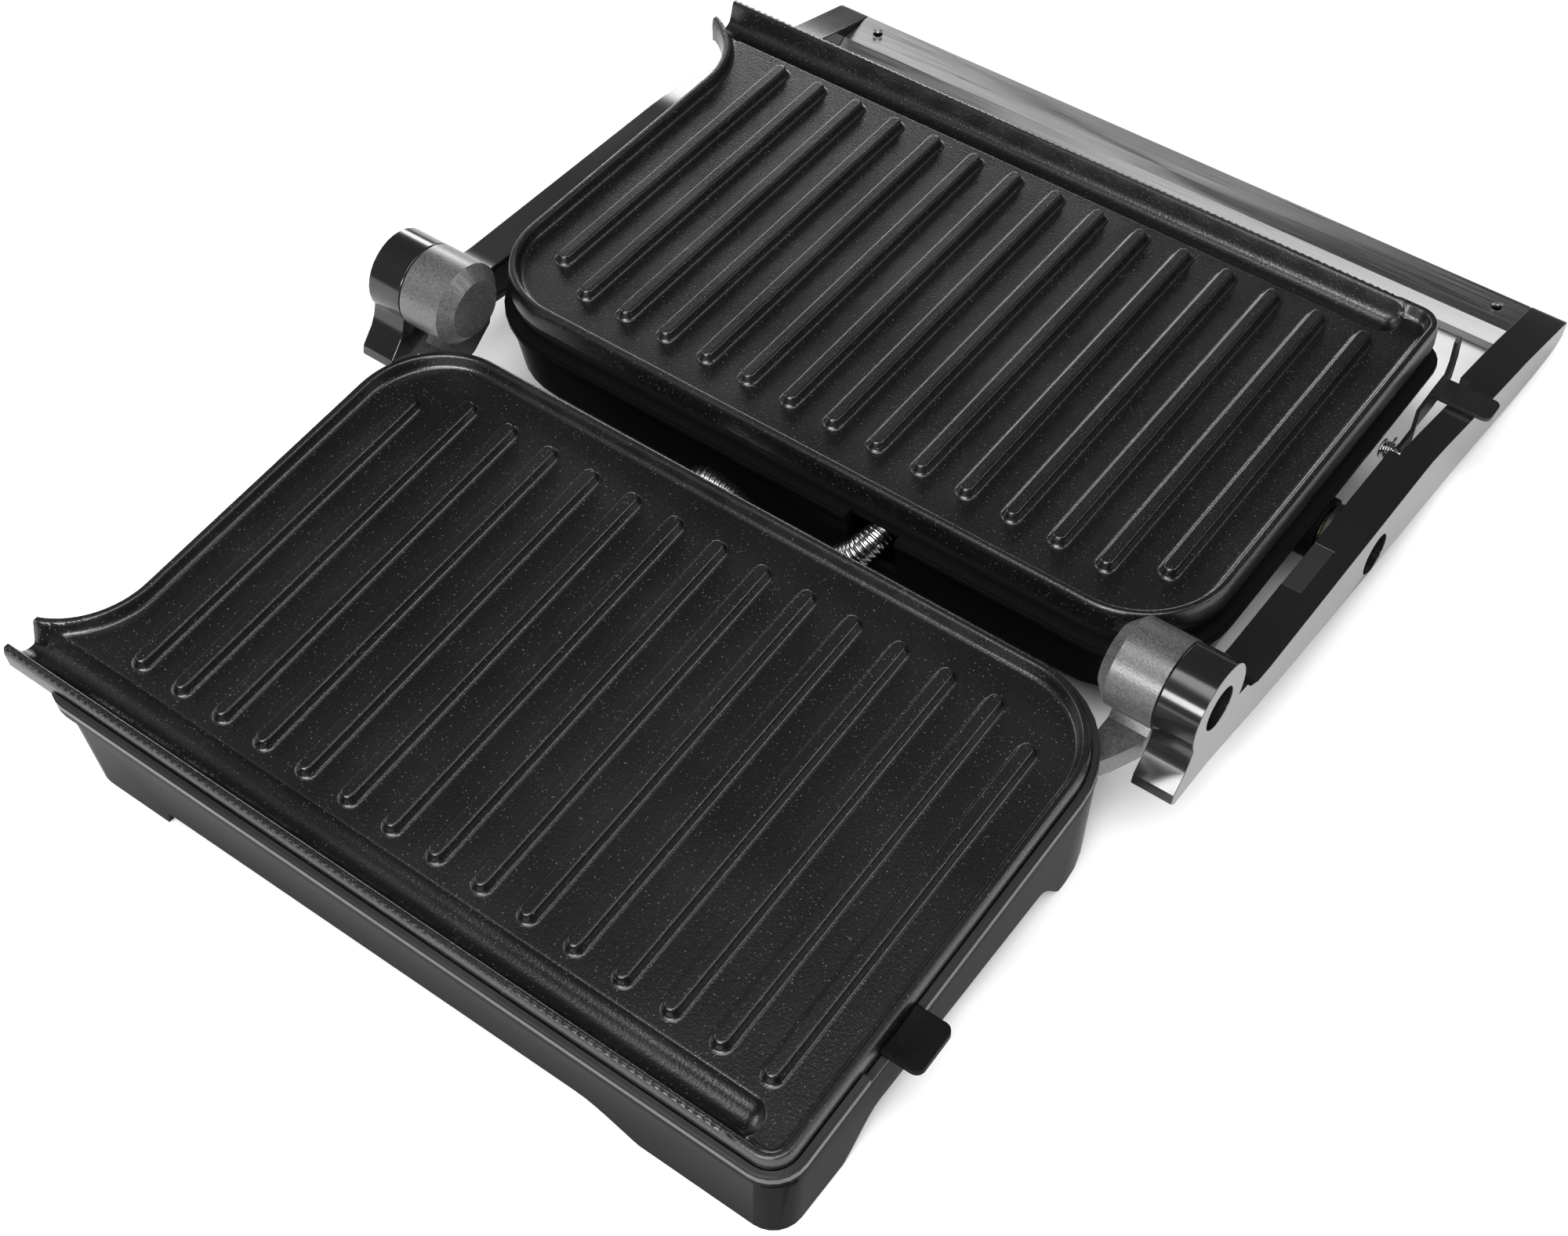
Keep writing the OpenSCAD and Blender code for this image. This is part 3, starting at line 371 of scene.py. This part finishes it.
# %% Plate sizes from the frame
lid_low, lid_high = (np.array(p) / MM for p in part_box("lid_plate"))
base_low, base_high = (np.array(p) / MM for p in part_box("base_plate"))
half_w = lid_high[0]
half_d = (lid_high[1] - lid_low[1]) / 2
spout_x = lid_low[0]
RIM_H = 1.0
RIDGE_H = 3.6
WALL = 3.0
FLOOR_T = 4.0
SKIRT_W = -8.0
CORNER_BACK = 34.0
CORNER_FRONT = 9.0
FLARE_R = 32.0
FLARE_V = -46.0
CHANNEL_R = 7.0
CHANNEL_W = -1.2
CHANNEL_V = 9.9 - half_d
CHANNEL_END = 126.0
RIDGES = 15
PITCH = 18.0
RIDGE_FRONT = -71.0
RIDGE_BACK = 75.0
RIDGE_SHORT = 9.4
RIDGE_FOOT = 3.4
RIDGE_HALF = 2.15
RIDGE_SLOPE = 2.88
RIDGE_STEPS = 44
RIM_INNER_SLOPE = 3.2
RIM_OUTER_SLOPE = 4
TROUGH_SLOPE = 5
flare_x = -half_w - FLARE_R
print("plate", round(2 * half_w, 1), "x", round(2 * half_d, 1), "mm, spout to", round(spout_x, 1))

# %% Outline rings
def arc(cx, cy, r, start, stop, steps):
    turn = np.radians(np.linspace(start, stop, steps + 1))
    return np.column_stack([cx + r * np.cos(turn), cy + r * np.sin(turn)])


def run(a, b, step):
    count = max(2, int(round(math.dist(a, b) / step)) + 1)
    return np.linspace(a, b, count)[1:-1]


def outline(inset):
    """The plate's edge, drawn in, from the spout's lower tip round to its upper tip."""
    r = FLARE_R + inset
    reach = math.degrees(math.acos((spout_x - flare_x) / r))
    front, right, back, left = -half_d + inset, half_w - inset, half_d - inset, -half_w + inset
    fc, bc = CORNER_FRONT, CORNER_BACK
    parts = [
        np.array([[spout_x, front]]), run((spout_x, front), (half_w - fc, front), 3.0),
        arc(half_w - fc, -half_d + fc, fc - inset, -90, 0, 14),
        run((right, -half_d + fc), (right, half_d - bc), 4.0),
        arc(half_w - bc, half_d - bc, bc - inset, 0, 90, 28),
        run((half_w - bc, back), (bc - half_w, back), 4.0),
        arc(bc - half_w, half_d - bc, bc - inset, 90, 180, 28),
        run((left, half_d - bc), (left, FLARE_V), 4.0),
        arc(flare_x, FLARE_V, r, 0, -reach, 26),
    ]
    return np.vstack(parts)


def distance_to_path(points, path):
    """Distance from each point to an open path."""
    best = np.full(len(points), 1e9)
    for a, b in zip(path[:-1], path[1:]):
        along = b - a
        length = along @ along
        if length < 1e-12:
            continue
        t = np.clip((points - a) @ along / length, 0, 1)
        best = np.minimum(best, np.hypot(*(points - a - t[:, None] * along).T))
    return best


edge_path = outline(0.0)
print("outline points:", len(edge_path))

# %% Heights of the plate's top and underside
def smooth_min(a, b, k):
    h = np.maximum(k - np.abs(a - b), 0) / k
    return np.minimum(a, b) - h * h * k / 4


def smooth_max(a, b, k):
    return -smooth_min(-a, -b, k)


def from_channel(points):
    """Distance from the channel's axis, which ends round at the right."""
    past = np.maximum(points[:, 0] - CHANNEL_END, 0)
    return np.hypot(past, points[:, 1] - CHANNEL_V)


def ridge_axes():
    half = (RIDGES - 1) // 2
    for i in range(-half, half + 1):
        back = RIDGE_BACK - (RIDGE_SHORT if abs(i) == half else 0)
        yield i * PITCH, RIDGE_FRONT + RIDGE_FOOT, back - RIDGE_FOOT


def from_ridge(points, ridge):
    x, front, back = ridge
    past = points[:, 1] - np.clip(points[:, 1], front, back)
    return np.hypot(points[:, 0] - x, past)


def top_height(points):
    edge = distance_to_path(points, edge_path)
    off_axis = from_channel(points)
    bowl = CHANNEL_W - np.sqrt(np.maximum(CHANNEL_R ** 2 - off_axis ** 2, 0))
    trough = np.where(off_axis < CHANNEL_R, bowl, CHANNEL_W + TROUGH_SLOPE * (off_axis - CHANNEL_R))
    height = smooth_min(np.full(len(points), -RIDGE_H), trough, 1.0)
    rim = smooth_min(np.full(len(points), RIM_H), RIM_OUTER_SLOPE * edge - 2, 1.5)
    rim = smooth_min(rim, RIM_H + RIM_INNER_SLOPE * (WALL - edge), 1.2)
    height = smooth_max(height, rim, 1.6)
    for ridge in ridge_axes():
        side = (RIDGE_HALF - from_ridge(points, ridge)) * RIDGE_SLOPE
        height = smooth_max(height, smooth_min(np.zeros(len(points)), side, 0.9), 1.2)
    return np.minimum(height, RIM_H)


def under_height(points):
    shell = CHANNEL_R + WALL - 0.4
    gap = np.sqrt(np.maximum(shell ** 2 - from_channel(points) ** 2, 0))
    trough = np.where(gap > 0, CHANNEL_W - 1 - gap, 0)
    slab = np.where(distance_to_path(points, edge_path) < WALL, SKIRT_W, -RIDGE_H - FLOOR_T)
    return np.minimum(slab, trough)


print("a ridge's middle stands at", round(float(top_height(np.array([[0.0, 0.0]]))[0]), 3))

# %% Points where the height bends
EDGE_RINGS = [0.2, 0.45, 0.75, 1.1, 1.6, 2.1, 2.5, 2.8, 3.1, 3.5, 4.0, 4.5, 5.1, 6.0]
RIDGE_RINGS = [0.0, 1.2, 1.7, 2.0, 2.3, 2.6, 3.0, 3.4, 3.9, 4.6]
CHANNEL_RINGS = [0.0, 1.5, 3.0, 4.2, 5.2, 5.8, 6.2, 6.5, 6.8, 7.1, 7.5, 8.2]


def stadium(ridge, r):
    x, front, back = ridge
    steps = np.linspace(front, back, RIDGE_STEPS)
    if r == 0:
        return np.column_stack([np.full(RIDGE_STEPS, x), steps])
    return np.vstack([np.column_stack([np.full(RIDGE_STEPS, x - r), steps]),
                      np.column_stack([np.full(RIDGE_STEPS, x + r), steps]),
                      arc(x, back, r, 0, 180, 12)[1:-1], arc(x, front, r, 180, 360, 12)[1:-1]])


def channel_ring(r):
    along = np.arange(spout_x + 1.5, CHANNEL_END, 3.0)
    lower = np.column_stack([along, np.full(len(along), CHANNEL_V - r)])
    upper = np.column_stack([along, np.full(len(along), CHANNEL_V + r)])
    return np.vstack([lower, upper, arc(CHANNEL_END, CHANNEL_V, r, -90, 90, 20)])


def tip_points():
    """Points down the spout's open end, so that its cut face follows the channel."""
    v = [CHANNEL_V + s * r for r in CHANNEL_RINGS for s in (-1, 1)]
    v += [-half_d + r for r in EDGE_RINGS[:8]]
    v += [edge_path[-1][1] - r for r in EDGE_RINGS]
    low, high = edge_path[0][1] + 0.05, edge_path[-1][1] - 0.05
    return np.array(sorted({round(q, 3) for q in v if low < q < high}, reverse=True))


def plate_points():
    border = np.vstack([edge_path, [[spout_x, v] for v in tip_points()]])
    inside = [outline(r) for r in EDGE_RINGS]
    inside += [stadium(ridge, r) for ridge in ridge_axes() for r in RIDGE_RINGS]
    inside += [channel_ring(r) for r in CHANNEL_RINGS]
    inside = np.vstack(inside)
    deep = (inside[:, 0] > spout_x + 0.4) & (distance_to_path(inside, edge_path) > 0.1)
    return border, inside[deep]


border, inside = plate_points()
print("plate points:", len(border), "on the edge,", len(inside), "inside")

# %% Triangles between the points
def plate_triangles():
    places = [Vector(p) for p in np.vstack([border, inside])]
    loop = [(i, (i + 1) % len(border)) for i in range(len(border))]
    points, _, faces, *_ = delaunay_2d_cdt(places, loop, [], 1, 1e-4)
    return np.array([tuple(p) for p in points]), [tuple(f) for f in faces]


flat, triangles = plate_triangles()
tops = top_height(flat)
unders = under_height(flat)
print("plate triangles:", len(triangles))


# %% Closed plate mesh
def plate_mesh(name, place):
    """place turns (x, v, w) rows in millimetres into (x, y, z) rows."""
    count = len(flat)
    rows = np.vstack([np.column_stack([flat, tops]), np.column_stack([flat, unders])])
    faces = [f for f in triangles] + [tuple(i + count for i in reversed(f)) for f in triangles]
    sides = {(a, b) for f in triangles for a, b in zip(f, f[1:] + f[:1])}
    open_sides = [(a, b) for a, b in sides if (b, a) not in sides]
    faces += [(b, a, a + count, b + count) for a, b in open_sides]
    mesh = bpy.data.meshes.new(name)
    mesh.from_pydata((place(rows) * MM).tolist(), [], faces)
    shape = bmesh.new()
    shape.from_mesh(mesh)
    bmesh.ops.recalc_face_normals(shape, faces=shape.faces)
    shape.to_mesh(mesh)
    shape.free()
    mesh.shade_smooth()
    mesh.set_sharp_from_angle(angle=math.radians(50))
    return mesh


slide_axis = joints["release_slide"]["axis"]
plate_tilt = math.atan2(-slide_axis[2], -slide_axis[1])
base_ridge_z = base_high[2] - half_d * math.sin(plate_tilt) - RIM_H * math.cos(plate_tilt)
base_middle = base_low[1] + half_d * math.cos(plate_tilt) + RIM_H * math.sin(plate_tilt)
lid_middle = (lid_low[1] + lid_high[1]) / 2


def on_base(rows):
    x, v, w = rows.T
    return np.column_stack([x, base_middle + v * math.cos(plate_tilt) - w * math.sin(plate_tilt),
                            base_ridge_z + v * math.sin(plate_tilt) + w * math.cos(plate_tilt)])


def on_lid(rows):
    x, v, w = rows.T
    return np.column_stack([x, lid_middle - v, lid_high[2] - RIM_H + w])


for node, place in (("base_plate", on_base), ("lid_plate", on_lid)):
    plate = link(node + "_cast", plate_mesh(node + "_cast", place))
    dress(plate, node)
    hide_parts(node)
    dressed[node] = plate
print("base plate slopes", round(math.degrees(plate_tilt), 2), "degrees")

# %% [markdown]
# ## Spiral conduit
#
# The wires cross from the base to the lid in a spiral-wound metal conduit. It is one strip wound
# into ribs, so Geometry Nodes place a ring at every pitch along the route, each leaning a little
# to follow the winding, over a plain core. The result bends between the base and the handle yoke.

# %% Geometry Nodes helpers
def new_tree(name, inputs):
    """inputs: (name, socket type, default)."""
    tree = bpy.data.node_groups.new(name, "GeometryNodeTree")
    tree.interface.new_socket("Geometry", in_out="INPUT", socket_type="NodeSocketGeometry")
    for label, kind, default in inputs:
        socket = tree.interface.new_socket(label, in_out="INPUT", socket_type=kind)
        if default is not None:
            socket.default_value = default
    tree.interface.new_socket("Geometry", in_out="OUTPUT", socket_type="NodeSocketGeometry")
    return tree, tree.nodes.new("NodeGroupInput"), tree.nodes.new("NodeGroupOutput")


def wire(tree, source, out, target, into):
    tree.links.new(source.outputs[out], target.inputs[into])


def grown(obj, tree, values, name):
    """Runs the tree on obj, with values by input name, and returns a plain mesh object."""
    modifier = obj.modifiers.new("grow", "NODES")
    modifier.node_group = tree
    for item in tree.interface.items_tree:
        if item.in_out == "INPUT" and item.name in values:
            modifier[item.identifier] = values[item.name]
    graph = bpy.context.evaluated_depsgraph_get()
    mesh = bpy.data.meshes.new_from_object(obj.evaluated_get(graph))
    bpy.data.objects.remove(obj)
    mesh.name = name
    return link(name, mesh)


# %% Conduit tree
conduit_tree, given, result = new_tree("spiral_conduit_ribs", [
    ("Core Radius", "NodeSocketFloat", 4.7 * MM), ("Rib Radius", "NodeSocketFloat", 0.75 * MM),
    ("Rib Pitch", "NodeSocketFloat", 1.7 * MM), ("Lean", "NodeSocketFloat", 0.1),
    ("Finish", "NodeSocketMaterial", None)])
make = conduit_tree.nodes.new
to_curve = make("GeometryNodeMeshToCurve")
core_ring = make("GeometryNodeCurvePrimitiveCircle")
core_ring.inputs["Resolution"].default_value = 24
core = make("GeometryNodeCurveToMesh")
core.inputs["Fill Caps"].default_value = True
stops = make("GeometryNodeCurveToPoints")
stops.mode = "LENGTH"
rib_path = make("GeometryNodeCurvePrimitiveCircle")
rib_path.inputs["Resolution"].default_value = 28
rib_section = make("GeometryNodeCurvePrimitiveCircle")
rib_section.inputs["Resolution"].default_value = 8
rib = make("GeometryNodeCurveToMesh")
turn = make("FunctionNodeRotateRotation")
turn.rotation_space = "LOCAL"
tip = make("ShaderNodeCombineXYZ")
to_turn = make("FunctionNodeEulerToRotation")
ribs = make("GeometryNodeInstanceOnPoints")
joined = make("GeometryNodeJoinGeometry")
real = make("GeometryNodeRealizeInstances")
smooth = make("GeometryNodeSetShadeSmooth")
paint = make("GeometryNodeSetMaterial")
wire(conduit_tree, given, "Geometry", to_curve, "Mesh")
wire(conduit_tree, given, "Core Radius", core_ring, "Radius")
wire(conduit_tree, to_curve, "Curve", core, "Curve")
wire(conduit_tree, core_ring, "Curve", core, "Profile Curve")
wire(conduit_tree, to_curve, "Curve", stops, "Curve")
wire(conduit_tree, given, "Rib Pitch", stops, "Length")
wire(conduit_tree, given, "Core Radius", rib_path, "Radius")
wire(conduit_tree, given, "Rib Radius", rib_section, "Radius")
wire(conduit_tree, rib_path, "Curve", rib, "Curve")
wire(conduit_tree, rib_section, "Curve", rib, "Profile Curve")
wire(conduit_tree, given, "Lean", tip, "X")
wire(conduit_tree, tip, "Vector", to_turn, "Euler")
wire(conduit_tree, stops, "Rotation", turn, "Rotation")
wire(conduit_tree, to_turn, "Rotation", turn, "Rotate By")
wire(conduit_tree, stops, "Points", ribs, "Points")
wire(conduit_tree, rib, "Mesh", ribs, "Instance")
wire(conduit_tree, turn, "Rotation", ribs, "Rotation")
wire(conduit_tree, core, "Mesh", joined, "Geometry")
wire(conduit_tree, ribs, "Instances", joined, "Geometry")
wire(conduit_tree, joined, "Geometry", real, "Geometry")
wire(conduit_tree, real, "Geometry", smooth, "Geometry")
wire(conduit_tree, smooth, "Geometry", paint, "Geometry")
wire(conduit_tree, given, "Finish", paint, "Material")
wire(conduit_tree, paint, "Geometry", result, "Geometry")
print("conduit tree nodes:", len(conduit_tree.nodes))

# %% The conduit on its route
conduit_route = [
    (-40, 86, 29), (-40, 92, 29), (-40, 98, 29), (-38, 102.5, 30.6), (-32, 105.5, 31.8),
    (-24, 106.5, 29), (-15, 106.8, 23.8), (-5, 106.8, 19), (5.5, 106.8, 17), (14.5, 107.5, 18.6),
    (22, 109.6, 23.2), (27.5, 112.7, 28.4), (30.3, 117, 32), (31, 123, 33), (31, 129, 33),
    (31, 135, 33)]
conduit_route = [(x, y + base_middle, z) for x, y, z in conduit_route]
route_mesh = bpy.data.meshes.new("conduit_route")
route_steps = [(i, i + 1) for i in range(len(conduit_route) - 1)]
route_mesh.from_pydata([Vector(p) * MM for p in conduit_route], route_steps, [])
conduit = grown(link("conduit_route", route_mesh), conduit_tree,
                {"Finish": finishes["conduit_metal"], "Lean": 0.12}, "wound_conduit")
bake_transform(conduit)
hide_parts("spiral_conduit")
print("conduit triangles:", sum(len(p.vertices) - 2 for p in conduit.data.polygons))

# %% [markdown]
# ## Screws
#
# The screws have domed heads with a cross recess. They could be six copied meshes, but one tree
# keeps them all alike: it cuts two crossed slots out of a flattened dome, one after the other,
# and sets the head on every point that it is given, turned as asked. The points come from the
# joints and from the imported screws' own boxes.

# %% Screw tree
screw_tree, given, result = new_tree("cross_recess_screws", [
    ("Head Radius", "NodeSocketFloat", 4 * MM), ("Head Height", "NodeSocketFloat", 2.4 * MM),
    ("Turn", "NodeSocketVector", (0.0, 0.0, 0.0)), ("Finish", "NodeSocketMaterial", None)])
make = screw_tree.nodes.new
ball = make("GeometryNodeMeshUVSphere")
ball.inputs["Segments"].default_value = 48
ball.inputs["Rings"].default_value = 24
flatten = make("GeometryNodeTransform")
squash = make("ShaderNodeCombineXYZ")
squash.inputs["X"].default_value = 1.0
squash.inputs["Y"].default_value = 1.0
ratio = make("ShaderNodeMath")
ratio.operation = "DIVIDE"
slot_long = make("ShaderNodeMath")
slot_long.operation = "MULTIPLY"
slot_long.inputs[1].default_value = 1.15
slot_wide = make("ShaderNodeMath")
slot_wide.operation = "MULTIPLY"
slot_wide.inputs[1].default_value = 0.26
slot_size = make("ShaderNodeCombineXYZ")
cross_size = make("ShaderNodeCombineXYZ")
slot_box = make("GeometryNodeMeshCube")
cross_box = make("GeometryNodeMeshCube")
lift = make("GeometryNodeTransform")
lift_cross = make("GeometryNodeTransform")
lift_by = make("ShaderNodeCombineXYZ")
cut = make("GeometryNodeMeshBoolean")
cut.operation = "DIFFERENCE"
cut_cross = make("GeometryNodeMeshBoolean")
cut_cross.operation = "DIFFERENCE"
points = make("GeometryNodeMeshToPoints")
heads = make("GeometryNodeInstanceOnPoints")
to_turn = make("FunctionNodeEulerToRotation")
real = make("GeometryNodeRealizeInstances")
paint = make("GeometryNodeSetMaterial")
wire(screw_tree, given, "Head Radius", ball, "Radius")
wire(screw_tree, given, "Head Height", ratio, 0)
wire(screw_tree, given, "Head Radius", ratio, 1)
wire(screw_tree, ratio, "Value", squash, "Z")
wire(screw_tree, ball, "Mesh", flatten, "Geometry")
wire(screw_tree, squash, "Vector", flatten, "Scale")
wire(screw_tree, given, "Head Radius", slot_long, 0)
wire(screw_tree, given, "Head Radius", slot_wide, 0)
for size, first, second in ((slot_size, slot_long, slot_wide), (cross_size, slot_wide, slot_long)):
    wire(screw_tree, first, "Value", size, "X")
    wire(screw_tree, second, "Value", size, "Y")
    wire(screw_tree, given, "Head Height", size, "Z")
wire(screw_tree, slot_size, "Vector", slot_box, "Size")
wire(screw_tree, cross_size, "Vector", cross_box, "Size")
wire(screw_tree, slot_box, "Mesh", lift, "Geometry")
wire(screw_tree, cross_box, "Mesh", lift_cross, "Geometry")
wire(screw_tree, given, "Head Height", lift_by, "Z")
wire(screw_tree, lift_by, "Vector", lift, "Translation")
wire(screw_tree, lift_by, "Vector", lift_cross, "Translation")
wire(screw_tree, flatten, "Geometry", cut, "Mesh 1")
wire(screw_tree, lift, "Geometry", cut, "Mesh 2")
wire(screw_tree, cut, "Mesh", cut_cross, "Mesh 1")
wire(screw_tree, lift_cross, "Geometry", cut_cross, "Mesh 2")
wire(screw_tree, given, "Geometry", points, "Mesh")
wire(screw_tree, given, "Turn", to_turn, "Euler")
wire(screw_tree, points, "Points", heads, "Points")
wire(screw_tree, cut_cross, "Mesh", heads, "Instance")
wire(screw_tree, to_turn, "Rotation", heads, "Rotation")
wire(screw_tree, heads, "Instances", real, "Geometry")
wire(screw_tree, real, "Geometry", paint, "Geometry")
wire(screw_tree, given, "Finish", paint, "Material")
wire(screw_tree, paint, "Geometry", result, "Geometry")
print("screw tree nodes:", len(screw_tree.nodes))

# %% Screws on their places
def screws(name, node, places, head_r, head_h, turn):
    mesh = bpy.data.meshes.new(name)
    mesh.from_pydata([Vector(p) for p in places], [], [])
    values = {"Head Radius": head_r, "Head Height": head_h, "Turn": turn,
              "Finish": finishes[slot_of_node[node]]}
    obj = grown(link(name + "_places", mesh), screw_tree, values, name)
    obj.data.shade_smooth()
    obj.data.set_sharp_from_angle(angle=math.radians(35))
    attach(obj, body_of_node[node])
    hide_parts(node)


hinge = joints["lid_hinge"]["pos_m"]
float_axis = joints["lid_float"]["pos_m"]
low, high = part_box("arm_screws")
ARM_HEAD_H = 2.2 * MM
ARM_HEAD_R = 4.2 * MM
for side, name in ((1, "arm_screws_right"), (-1, "arm_screws_left")):
    x = side * (high[0] - ARM_HEAD_H)
    screws(name, "arm_screws", [(x, hinge[1], hinge[2]), (x, float_axis[1], float_axis[2])],
           ARM_HEAD_R, ARM_HEAD_H, (0.0, side * math.pi / 2, 0.0))
low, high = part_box("handle_screws")
BAR_HEAD_H = 2.0 * MM
BAR_HEAD_R = (high[1] - low[1]) / 2
BAR_HEAD_Y = (low[1] + high[1]) / 2
screws("handle_bar_screws", "handle_screws",
       [(s * (high[0] - BAR_HEAD_R), BAR_HEAD_Y, high[2] - BAR_HEAD_H) for s in (-1, 1)],
       BAR_HEAD_R, BAR_HEAD_H, (0.0, 0.0, 0.6))
print("screw heads", round(2 * ARM_HEAD_R / MM, 1), "mm on the arms,",
      round(2 * BAR_HEAD_R / MM, 1), "mm on the handle")

# %% [markdown]
# ## Everything else
#
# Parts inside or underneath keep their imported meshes. They only need the finish of their slot.

# %% Finish the remaining parts
plain = [n for n in nodes if n not in dressed
         and n not in ("spiral_conduit", "arm_screws", "handle_screws")]
for node in plain:
    mesh = nodes[node].data
    mesh.materials.clear()
    mesh.materials.append(finishes[slot_of_node[node]])
print("packed parts with a finish:", len(plain))
